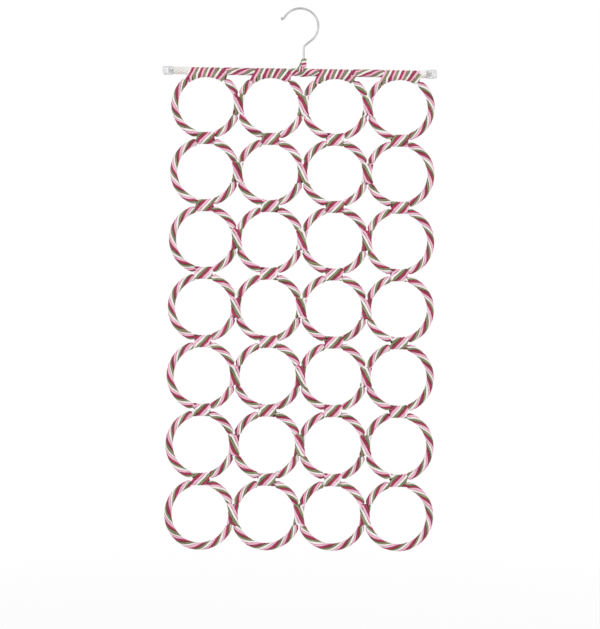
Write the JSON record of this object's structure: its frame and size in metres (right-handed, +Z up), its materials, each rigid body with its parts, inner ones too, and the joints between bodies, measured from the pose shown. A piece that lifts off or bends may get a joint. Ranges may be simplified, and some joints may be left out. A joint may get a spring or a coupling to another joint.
{
  "type": "scarf hanger",
  "caption": "Hanging scarf organiser: cord-wrapped rings lashed in a grid below a wrapped rod with a wire hook; the rows fold on each other.",
  "frame": {"origin": "the point inside the top of the hook's loop that rests on the rail", "axes": "+Z up, +X to the right along the rod as seen from the front, -Y towards the viewer"},
  "size_m": [0.3771, 0.0122, 0.7405],
  "materials": {
    "chrome_wire": "bright plated wire",
    "steel_wire": "drawn wire",
    "clear_plastic": "cloudy clear moulding",
    "cord": "cord of four colours: crimson, light pink, white and olive green"
  },
  "bodies": {
    "hook": {"hook": "chrome_wire", "stem_binding": "cord"},
    "bar": {"rod": "steel_wire", "left_cap": "clear_plastic", "right_cap": "clear_plastic", "bar_wraps": "cord", "bar_winding_1": "cord", "bar_winding_2": "cord", "bar_winding_3": "cord", "bar_winding_4": "cord", "ring_wires_1": "steel_wire", "side_lashings_1": "cord", "row_lashings_1": "cord", "ring_wrap_1_1": "cord", "ring_wrap_1_2": "cord", "ring_wrap_1_3": "cord", "ring_wrap_1_4": "cord"},
    "row_2": {"ring_wires_2": "steel_wire", "side_lashings_2": "cord", "row_lashings_2": "cord", "ring_wrap_2_1": "cord", "ring_wrap_2_2": "cord", "ring_wrap_2_3": "cord", "ring_wrap_2_4": "cord"},
    "row_3": {"ring_wires_3": "steel_wire", "side_lashings_3": "cord", "row_lashings_3": "cord", "ring_wrap_3_1": "cord", "ring_wrap_3_2": "cord", "ring_wrap_3_3": "cord", "ring_wrap_3_4": "cord"},
    "row_4": {"ring_wires_4": "steel_wire", "side_lashings_4": "cord", "row_lashings_4": "cord", "ring_wrap_4_1": "cord", "ring_wrap_4_2": "cord", "ring_wrap_4_3": "cord", "ring_wrap_4_4": "cord"},
    "row_5": {"ring_wires_5": "steel_wire", "side_lashings_5": "cord", "row_lashings_5": "cord", "ring_wrap_5_1": "cord", "ring_wrap_5_2": "cord", "ring_wrap_5_3": "cord", "ring_wrap_5_4": "cord"},
    "row_6": {"ring_wires_6": "steel_wire", "side_lashings_6": "cord", "row_lashings_6": "cord", "ring_wrap_6_1": "cord", "ring_wrap_6_2": "cord", "ring_wrap_6_3": "cord", "ring_wrap_6_4": "cord"},
    "row_7": {"ring_wires_7": "steel_wire", "side_lashings_7": "cord", "ring_wrap_7_1": "cord", "ring_wrap_7_2": "cord", "ring_wrap_7_3": "cord", "ring_wrap_7_4": "cord"}
  },
  "joints": [
    {"name": "bar_swing", "type": "hinge", "parent": "hook", "child": "bar", "pos_m": [0, 0, -0.088], "axis": [1, 0, 0], "range_deg": [-45, 45]},
    {"name": "row_2_fold", "type": "hinge", "parent": "bar", "child": "row_2", "pos_m": [0, 0, -0.18445], "axis": [1, 0, 0], "range_deg": [-90, 90]},
    {"name": "row_3_fold", "type": "hinge", "parent": "row_2", "child": "row_3", "pos_m": [0, 0, -0.27705], "axis": [-1, 0, 0], "range_deg": [-90, 90]},
    {"name": "row_4_fold", "type": "hinge", "parent": "row_3", "child": "row_4", "pos_m": [0, 0, -0.36965], "axis": [1, 0, 0], "range_deg": [-90, 90]},
    {"name": "row_5_fold", "type": "hinge", "parent": "row_4", "child": "row_5", "pos_m": [0, 0, -0.46225], "axis": [-1, 0, 0], "range_deg": [-90, 90]},
    {"name": "row_6_fold", "type": "hinge", "parent": "row_5", "child": "row_6", "pos_m": [0, 0, -0.55485], "axis": [1, 0, 0], "range_deg": [-90, 90]},
    {"name": "row_7_fold", "type": "hinge", "parent": "row_6", "child": "row_7", "pos_m": [0, 0, -0.64745], "axis": [-1, 0, 0], "range_deg": [-90, 90]}
  ]
}
